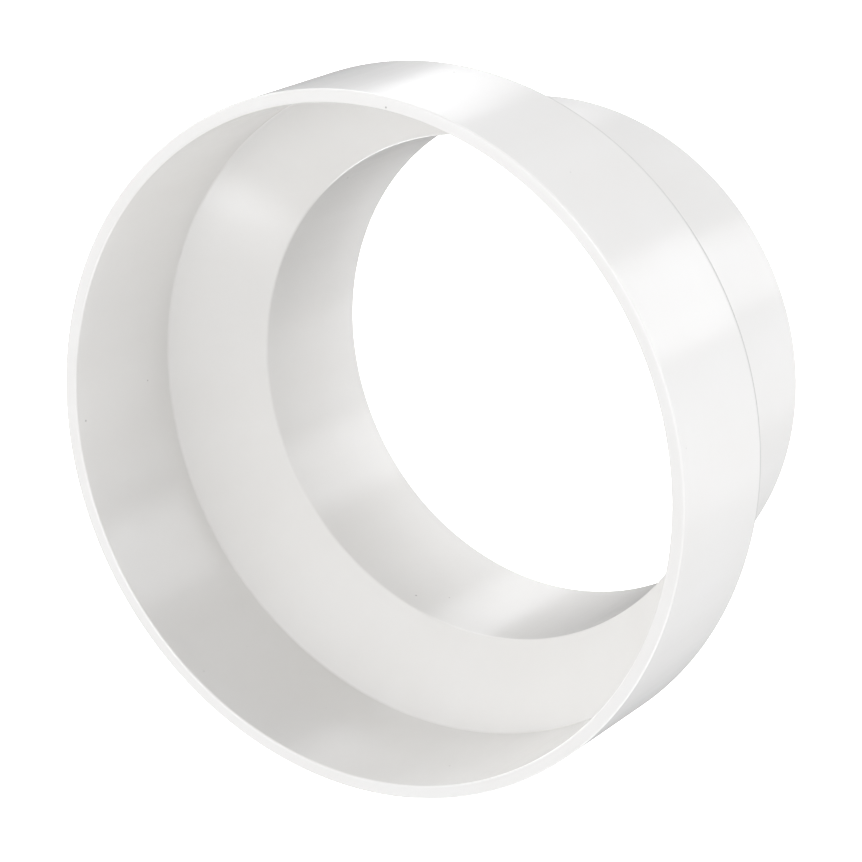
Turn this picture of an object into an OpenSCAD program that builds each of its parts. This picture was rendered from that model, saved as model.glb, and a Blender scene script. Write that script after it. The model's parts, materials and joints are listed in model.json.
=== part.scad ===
// Round duct reducer: one white plastic moulding with a wide socket that takes
// a larger duct, a conical step, and a narrow spigot that enters a smaller duct.
// It stands on the spigot's end, with the socket's mouth up and its axis on Z.

/* [Socket] */
// Bore of the socket, where the larger duct goes in
socket_bore_d = 125; // [112:0.5:200]
// Wall of the socket at its mouth
socket_wall = 2.5; // [1.5:0.1:4]
// Depth of the straight bore, from the mouth to the conical step
socket_depth = 29; // [15:0.5:80]

/* [Spigot] */
// Outer diameter of the spigot, which goes into the smaller duct
spigot_outer_d = 100; // [60:0.5:110]
// Wall of the spigot where it leaves the conical step
spigot_wall = 1.6; // [1.2:0.1:4]
// Length of the spigot's bore, from the conical step to the end
spigot_length = 30; // [15:0.5:80]

/* [Step] */
// Height of the conical step inside, measured along the axis
step_height = 13; // [6:0.5:60]
// Wall of the conical step, measured square to its slope
step_wall = 1.6; // [1.2:0.1:4]

/* [Moulding] */
// Draft in degrees of the walls that no duct fits: outside the socket, inside the spigot
draft = 0.5; // [0:0.1:1]
// Rounding of the four edges at the two open ends
lip_round = 0.4; // [0.1:0.05:0.55]
// Rounding inside, where the conical step meets each bore
inner_round = 0.8; // [0.2:0.1:3]
// Rounding outside, where the socket turns into the conical step
shoulder_round = 2.5; // [0.5:0.1:5]
// Fillet outside, where the conical step meets the spigot
neck_fillet = 1.5; // [0.5:0.1:4]

/* [Hidden] */
socket_bore_r = socket_bore_d / 2;
spigot_outer_r = spigot_outer_d / 2;

// Heights along the inside, from the spigot's end at zero
step_z = spigot_length;
socket_z = step_z + step_height;
mouth_z = socket_z + socket_depth;

// The moulded part leaves its tool along the axis, so both drafted walls lean in
// towards the spigot's end
drafted = [tan(draft), 1];
straight = [0, 1];

// The four corners of the spigot and the step on the inside, and of the mouth
spigot_bore_top = [spigot_outer_r - spigot_wall, step_z];
spigot_bore_end = spigot_bore_top - step_z * drafted;
socket_bore_foot = [socket_bore_r, socket_z];
mouth_outer = [socket_bore_r + socket_wall, mouth_z];

// The step's outer face runs along its inner face, one wall away
step_slope = unit(socket_bore_foot - spigot_bore_top);
step_outer = spigot_bore_top + step_wall * [step_slope.y, -step_slope.x];
shoulder = crossing(step_outer, step_slope, mouth_outer, drafted);
neck = crossing(step_outer, step_slope, [spigot_outer_r, 0], straight);

// Largest turn between two neighbouring points on a rounded edge, in degrees
arc_turn = 12;
$fn = 180;

function unit(v) = v / norm(v);

function cross_2d(u, v) = u.x * v.y - u.y * v.x;

// Point where the line through p along u crosses the line through q along v
function crossing(p, u, q, v) = p + u * cross_2d(q - p, v) / cross_2d(u, v);

// Arc of radius r that rounds off the corner b, coming from a and going on to c
function corner_arc(a, b, c, r) =
    let (
        to_a = unit(a - b),
        to_c = unit(c - b),
        half = acos(to_a * to_c) / 2,
        centre = b + unit(to_a + to_c) * r / sin(half),
        first = b + to_a * r / tan(half) - centre,
        last = b + to_c * r / tan(half) - centre,
        turn = 180 - 2 * half,
        steps = ceil(turn / arc_turn)
    )
    [for (i = [0:steps])
        centre + (first * sin(turn * (1 - i / steps)) + last * sin(turn * i / steps)) / sin(turn)];

// Outline whose corners are given as [[radius from the axis, height], rounding]
function rounded_outline(corners) =
    let (n = len(corners))
    [for (i = [0:n - 1])
        each corner_arc(corners[(i + n - 1) % n][0], corners[i][0], corners[(i + 1) % n][0], corners[i][1])];

// The wall's section: up the outside from the spigot's end, and back down the inside
wall_section = rounded_outline([
    [spigot_bore_end, lip_round],
    [[spigot_outer_r, 0], lip_round],
    [neck, neck_fillet],
    [shoulder, shoulder_round],
    [mouth_outer, lip_round],
    [[socket_bore_r, mouth_z], lip_round],
    [socket_bore_foot, inner_round],
    [spigot_bore_top, inner_round],
]);

module reducer() {
    color("whitesmoke")
        rotate_extrude(convexity = 4)
            polygon(wall_section);
}

reducer();
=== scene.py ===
# A round duct reducer of white plastic, standing on its spigot's end with the socket's mouth up.
import json
from math import atan2, cos, dist, hypot, radians, sin, tan

import bpy
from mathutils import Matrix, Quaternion, Vector


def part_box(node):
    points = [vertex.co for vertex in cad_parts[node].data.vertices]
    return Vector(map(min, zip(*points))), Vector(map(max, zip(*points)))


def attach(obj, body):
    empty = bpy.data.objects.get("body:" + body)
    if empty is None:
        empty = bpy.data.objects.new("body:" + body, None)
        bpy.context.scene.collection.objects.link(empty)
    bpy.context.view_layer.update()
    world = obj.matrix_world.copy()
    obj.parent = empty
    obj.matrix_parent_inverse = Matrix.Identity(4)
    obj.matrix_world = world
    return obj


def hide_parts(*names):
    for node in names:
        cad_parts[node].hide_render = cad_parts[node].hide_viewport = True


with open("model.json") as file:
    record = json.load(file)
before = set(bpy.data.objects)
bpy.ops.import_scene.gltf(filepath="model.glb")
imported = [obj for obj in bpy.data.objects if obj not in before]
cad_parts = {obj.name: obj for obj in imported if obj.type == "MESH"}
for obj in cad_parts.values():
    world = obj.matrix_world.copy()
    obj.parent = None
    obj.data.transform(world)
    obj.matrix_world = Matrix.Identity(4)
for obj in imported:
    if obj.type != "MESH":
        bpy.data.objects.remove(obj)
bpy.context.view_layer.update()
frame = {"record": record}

# The camera
# A long lens looks down into the mouth. It is rolled, so that the reducer's axis runs from the
# mouth at the lower left to the spigot at the upper right.
mm = 0.001
camera_aim = Vector((-2.36, -16.13, 72.0)) * mm
camera_distance = 640.2 * mm
camera_elevation = radians(53.74)
camera_roll = radians(-116.4)

look = Vector((0, cos(camera_elevation), -sin(camera_elevation)))
bpy.ops.object.camera_add(location=camera_aim - look * camera_distance)
camera = bpy.context.object
camera.name = "camera"
camera.rotation_mode = "QUATERNION"
camera.rotation_quaternion = look.to_track_quat("-Z", "Y") @ Quaternion((0, 0, 1), camera_roll)
camera.data.sensor_width = 36
camera.data.lens = 153.7
camera.data.clip_start = 0.01
bpy.context.scene.camera = camera

# The table
# A light table of milky glass, as under catalogue photographs. It glows evenly, so no shadow
# falls on it, and it lets the light of the low soft boxes through to the reducer.
table_size = 12.0
table_glow = 1.6

bpy.ops.object.select_all(action="DESELECT")
bpy.ops.mesh.primitive_plane_add(size=table_size, location=(0, 0, 0))
table = bpy.context.object
table.name = "table"
milky_glass = bpy.data.materials.new("milky_glass")
milky_glass.use_nodes = True
glass_shader = milky_glass.node_tree.nodes["Principled BSDF"]
glass_shader.inputs["Base Color"].default_value = (0.8, 0.8, 0.8, 1)
glass_shader.inputs["Roughness"].default_value = 0.9
glass_shader.inputs["Emission Color"].default_value = (1, 1, 1, 1)
glass_shader.inputs["Emission Strength"].default_value = table_glow
table.data.materials.append(milky_glass)
table.visible_diffuse = False
table.visible_glossy = False
table.visible_transmission = False
table.visible_shadow = False

# The room
# A studio whose walls throw back a soft and slightly cool light, least of it from the far side.
# Behind the reducer the camera sees nothing but white.
room_light = {
    "from_left": (-0.64, 0, 0),
    "from_right": (0.58, 0, 0),
    "from_camera_side": (0, -0.52, 0),
    "from_far_side": (0, 0.08, 0),
    "from_overhead": (0, 0, 0.08),
    "from_below": (0, 0, -0.08),
}
cool_white = (0.985, 0.993, 1.02)

room = bpy.data.worlds.new("white_studio")
room.use_nodes = True
room_nodes = room.node_tree.nodes
room_links = room.node_tree.links
studio_light = room_nodes["Background"]
direction = room_nodes.new("ShaderNodeTexCoord")
strength = studio_light.inputs["Strength"]
sum_so_far = None
for side, towards in room_light.items():
    facing = room_nodes.new("ShaderNodeVectorMath")
    facing.name = side
    facing.operation = "DOT_PRODUCT"
    facing.inputs[1].default_value = towards
    room_links.new(direction.outputs["Generated"], facing.inputs[0])
    never_negative = room_nodes.new("ShaderNodeMath")
    never_negative.operation = "MAXIMUM"
    never_negative.inputs[1].default_value = 0
    room_links.new(facing.outputs["Value"], never_negative.inputs[0])
    if sum_so_far is None:
        sum_so_far = never_negative.outputs["Value"]
        continue
    added = room_nodes.new("ShaderNodeMath")
    added.operation = "ADD"
    room_links.new(sum_so_far, added.inputs[0])
    room_links.new(never_negative.outputs["Value"], added.inputs[1])
    sum_so_far = added.outputs["Value"]
room_links.new(sum_so_far, strength)

plain_white = room_nodes.new("ShaderNodeBackground")
plain_white.inputs["Color"].default_value = (1, 1, 1, 1)
plain_white.inputs["Strength"].default_value = 1.6
studio_light.inputs["Color"].default_value = (*cool_white, 1)
ray = room_nodes.new("ShaderNodeLightPath")
seen_or_lit = room_nodes.new("ShaderNodeMixShader")
room_links.new(ray.outputs["Is Camera Ray"], seen_or_lit.inputs["Fac"])
room_links.new(studio_light.outputs["Background"], seen_or_lit.inputs[1])
room_links.new(plain_white.outputs["Background"], seen_or_lit.inputs[2])
room_links.new(seen_or_lit.outputs["Shader"], room_nodes["World Output"].inputs["Surface"])
bpy.context.scene.world = room
bpy.context.scene.view_settings.view_transform = "Standard"

# The soft boxes
# Square soft boxes on stands, all aimed at the reducer's middle. The two small low ones make the
# bright bands that run along its walls.
aim_height = 36 * mm
stand_distance = 1.2


def soft_box(name, azimuth, elevation, size, power):
    """Adds a square light. Azimuth 0 is the camera's side, and it turns towards +X."""
    out = Vector((
        sin(radians(azimuth)) * cos(radians(elevation)),
        -cos(radians(azimuth)) * cos(radians(elevation)),
        sin(radians(elevation)),
    ))
    place = Vector((0, 0, aim_height)) + out * stand_distance
    bpy.ops.object.light_add(type="AREA", location=place)
    light = bpy.context.object
    light.name = name
    light.rotation_mode = "QUATERNION"
    light.rotation_quaternion = (-out).to_track_quat("-Z", "Y")
    light.data.shape = "SQUARE"
    light.data.size = size
    light.data.color = cool_white
    light.data.energy = power
    light.visible_camera = False
    return light


soft_box("camera_side", azimuth=0, elevation=-12, size=0.6, power=5.1)
soft_box("camera_side_high", azimuth=0, elevation=75, size=0.6, power=4.15)
soft_box("right_low", azimuth=90, elevation=-25, size=0.6, power=3.76)
soft_box("far_right", azimuth=135, elevation=12, size=0.6, power=5.83)
soft_box("far_right_high", azimuth=135, elevation=75, size=0.6, power=5.07)
soft_box("far_left_low", azimuth=225, elevation=-25, size=0.6, power=5.93)
soft_box("left", azimuth=270, elevation=12, size=0.6, power=4.55)
soft_box("camera_left_low", azimuth=315, elevation=-50, size=0.6, power=0.45)
soft_box("band_camera_side", azimuth=0, elevation=-54, size=0.4, power=0.86)
soft_box("band_right", azimuth=101, elevation=-47, size=0.4, power=0.84)

# The reducer
# One injection-moulded shell of white rigid plastic: a wide socket, a conical step and a narrow
# spigot in a single thin wall. Its walls lean in slightly, where no duct fits them, so that it
# leaves its tool, and every edge has a small round.
mounts = {mount["name"]: mount for mount in frame["record"]["mounts"]}
socket_bore_r = mounts["socket_bore"]["dims"]["r_mm"] * mm
spigot_outer_r = mounts["spigot"]["dims"]["r_mm"] * mm
mouth_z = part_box("reducer")[1].z
socket_wall = 2.5 * mm
socket_depth = 29 * mm
spigot_wall = 1.6 * mm
spigot_length = 30 * mm
step_wall = 1.6 * mm
lean = tan(radians(0.5))
lip_round = 0.4 * mm
inner_round = 0.8 * mm
shoulder_round = 2.5 * mm
neck_fillet = 1.5 * mm
facets_around = 288
facets_in_round = 6

# The step's outer face runs along its inner face, one wall away
spigot_bore_r = spigot_outer_r - spigot_wall
socket_z = mouth_z - socket_depth
step_run = Vector((socket_bore_r - spigot_bore_r, socket_z - spigot_length)).normalized()
step_outer = Vector((spigot_bore_r, spigot_length)) + step_wall * Vector((step_run.y, -step_run.x))
neck_z = step_outer.y + (spigot_outer_r - step_outer.x) * step_run.y / step_run.x
mouth_outer_r = socket_bore_r + socket_wall
leant_r = mouth_outer_r - (mouth_z - step_outer.y) * lean
to_shoulder = (leant_r - step_outer.x) / (step_run.x - step_run.y * lean)
shoulder = step_outer + step_run * to_shoulder

# Corners of the wall's section as radius, height and rounding: up the outside, down the inside
section = [
    (spigot_outer_r, 0, lip_round),
    (spigot_outer_r, neck_z, neck_fillet),
    (shoulder.x, shoulder.y, shoulder_round),
    (mouth_outer_r, mouth_z, lip_round),
    (socket_bore_r, mouth_z, lip_round),
    (socket_bore_r, socket_z, inner_round),
    (spigot_bore_r, spigot_length, inner_round),
    (spigot_bore_r - spigot_length * lean, 0, lip_round),
]


def select_rings(corners):
    """Selects the rings of edges that lie at these corners of the section, and nothing else."""
    bpy.ops.mesh.select_all(action="DESELECT")
    bpy.ops.object.mode_set(mode="OBJECT")
    mesh = bpy.context.object.data
    close = 0.01 * mm
    at = []
    for vertex in mesh.vertices:
        here = (hypot(vertex.co.x, vertex.co.y), vertex.co.z)
        at.append(any(dist(here, corner[:2]) < close for corner in corners))
    for edge in mesh.edges:
        a, b = edge.vertices
        level = abs(mesh.vertices[a].co.z - mesh.vertices[b].co.z) < close
        edge.select = at[a] and at[b] and level
    bpy.ops.object.mode_set(mode="EDIT")


# A ring at the spigot's end is drawn out from corner to corner, and its last edge joins its first
bpy.ops.object.select_all(action="DESELECT")
bpy.ops.mesh.primitive_circle_add(vertices=facets_around, radius=section[0][0], location=(0, 0, 0))
reducer = bpy.context.object
reducer.name = "reducer_body"
bpy.ops.object.mode_set(mode="EDIT")
bpy.ops.mesh.select_mode(type="EDGE")
bpy.ops.mesh.select_all(action="SELECT")
for (from_r, from_z, _), (to_r, to_z, _) in zip(section, section[1:]):
    bpy.ops.mesh.extrude_edges_move(TRANSFORM_OT_translate={"value": (0, 0, to_z - from_z)})
    bpy.ops.transform.resize(value=(to_r / from_r, to_r / from_r, 1))
select_rings([section[0], section[-1]])
bpy.ops.mesh.bridge_edge_loops()

# Each corner is rounded to its own radius
for before, corner, after in zip(section[-1:] + section[:-1], section, section[1:] + section[:1]):
    into = atan2(corner[1] - before[1], corner[0] - before[0])
    out_of = atan2(after[1] - corner[1], after[0] - corner[0])
    turn = abs((out_of - into + radians(180)) % radians(360) - radians(180))
    width = corner[2] * tan(turn / 2)
    select_rings([corner])
    bpy.ops.mesh.bevel(offset=width, segments=facets_in_round, profile=0.5, affect="EDGES")
bpy.ops.mesh.select_all(action="SELECT")
bpy.ops.mesh.normals_make_consistent(inside=False)
bpy.ops.object.mode_set(mode="OBJECT")
bpy.ops.object.shade_smooth()
even_shading = reducer.modifiers.new("even_shading", "WEIGHTED_NORMAL")
bpy.ops.object.modifier_apply(modifier=even_shading.name)

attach(reducer, "root")
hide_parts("reducer")

# Its plastic is satin from a polished tool, with a slight orange peel, faint drawing marks along
# the axis where it slid off the tool, a little unevenness in colour and gloss, and a few specks
white = (0.81, 0.80, 0.775, 1)
duller_white = (0.785, 0.77, 0.74, 1)
speck_grey = (0.30, 0.29, 0.27, 1)

plastic = bpy.data.materials.new("satin_white_plastic")
plastic.use_nodes = True
nodes = plastic.node_tree.nodes
links = plastic.node_tree.links
shader = nodes["Principled BSDF"]
shader.inputs["IOR"].default_value = 1.53
place = nodes.new("ShaderNodeTexCoord").outputs["Object"]


def noise(name, vector, scale, detail):
    """Adds a noise pattern to the plastic, with about scale lumps to the metre."""
    pattern = nodes.new("ShaderNodeTexNoise")
    pattern.name = name
    pattern.inputs["Scale"].default_value = scale
    pattern.inputs["Detail"].default_value = detail
    links.new(vector, pattern.inputs["Vector"])
    return pattern.outputs["Fac"]


def spread(name, pattern, pattern_low, pattern_high, low, high):
    """Stretches the range of a pattern over another one."""
    stretch = nodes.new("ShaderNodeMapRange")
    stretch.name = name
    stretch.inputs["From Min"].default_value = pattern_low
    stretch.inputs["From Max"].default_value = pattern_high
    stretch.inputs["To Min"].default_value = low
    stretch.inputs["To Max"].default_value = high
    links.new(pattern, stretch.inputs["Value"])
    return stretch.outputs["Result"]


def total(name, first, second):
    """Adds two patterns up."""
    adding = nodes.new("ShaderNodeMath")
    adding.name = name
    adding.operation = "ADD"
    links.new(first, adding.inputs[0])
    links.new(second, adding.inputs[1])
    return adding.outputs["Value"]


def relief(name, pattern, depth, below):
    """Raises the surface by a pattern, up to this depth, on top of the relief below it."""
    bump = nodes.new("ShaderNodeBump")
    bump.name = name
    bump.inputs["Distance"].default_value = depth
    links.new(pattern, bump.inputs["Height"])
    if below:
        links.new(below, bump.inputs["Normal"])
    return bump.outputs["Normal"]


# Drawing marks run up the walls: a pattern that changes fast round the axis and slowly along it
flat_place = nodes.new("ShaderNodeVectorMath")
flat_place.operation = "MULTIPLY"
flat_place.inputs[1].default_value = (1, 1, 0)
links.new(place, flat_place.inputs[0])
round_the_axis = nodes.new("ShaderNodeVectorMath")
round_the_axis.operation = "NORMALIZE"
links.new(flat_place.outputs["Vector"], round_the_axis.inputs[0])
round_part = nodes.new("ShaderNodeVectorMath")
round_part.operation = "SCALE"
round_part.inputs["Scale"].default_value = 0.055
links.new(round_the_axis.outputs["Vector"], round_part.inputs[0])
slow_height = nodes.new("ShaderNodeVectorMath")
slow_height.operation = "MULTIPLY"
slow_height.inputs[1].default_value = (0, 0, 0.02)
links.new(place, slow_height.inputs[0])
along = nodes.new("ShaderNodeVectorMath")
along.operation = "ADD"
links.new(round_part.outputs["Vector"], along.inputs[0])
links.new(slow_height.outputs["Vector"], along.inputs[1])
drawing_marks = noise("drawing_marks", along.outputs["Vector"], 1100, 1)
flow_bands = noise("flow_bands", along.outputs["Vector"], 110, 2)
clouds = noise("clouds", place, 42, 4)
orange_peel = noise("orange_peel", place, 750, 2)
wall_wave = noise("wall_wave", place, 34, 1)

# Specks are the rare points of a scatter that happen to lie in the skin
scatter = nodes.new("ShaderNodeTexVoronoi")
scatter.name = "specks"
scatter.inputs["Scale"].default_value = 125
links.new(place, scatter.inputs["Vector"])
speck = spread("speck_edge", scatter.outputs["Distance"], 0.014, 0.030, 0.75, 0.0)

uneven = total("uneven_white", spread("clouds_in_white", clouds, 0.3, 0.7, 0.0, 0.6),
               spread("bands_in_white", flow_bands, 0.3, 0.7, 0.0, 0.4))
ground = nodes.new("ShaderNodeMix")
ground.data_type = "RGBA"
ground.inputs["A"].default_value = white
ground.inputs["B"].default_value = duller_white
links.new(uneven, ground.inputs["Factor"])
colour = nodes.new("ShaderNodeMix")
colour.data_type = "RGBA"
colour.inputs["B"].default_value = speck_grey
links.new(speck, colour.inputs["Factor"])
links.new(ground.outputs["Result"], colour.inputs["A"])
links.new(colour.outputs["Result"], shader.inputs["Base Color"])

gloss = total("gloss", spread("clouds_in_gloss", clouds, 0.3, 0.7, 0.18, 0.24),
              spread("marks_in_gloss", drawing_marks, 0.3, 0.7, -0.01, 0.01))
links.new(gloss, shader.inputs["Roughness"])

waved = relief("wave_relief", wall_wave, 0.12 * mm, None)
marked = relief("mark_relief", drawing_marks, 0.0008 * mm, waved)
peeled = relief("peel_relief", orange_peel, 0.006 * mm, marked)
links.new(peeled, shader.inputs["Normal"])
reducer.data.materials.append(plastic)
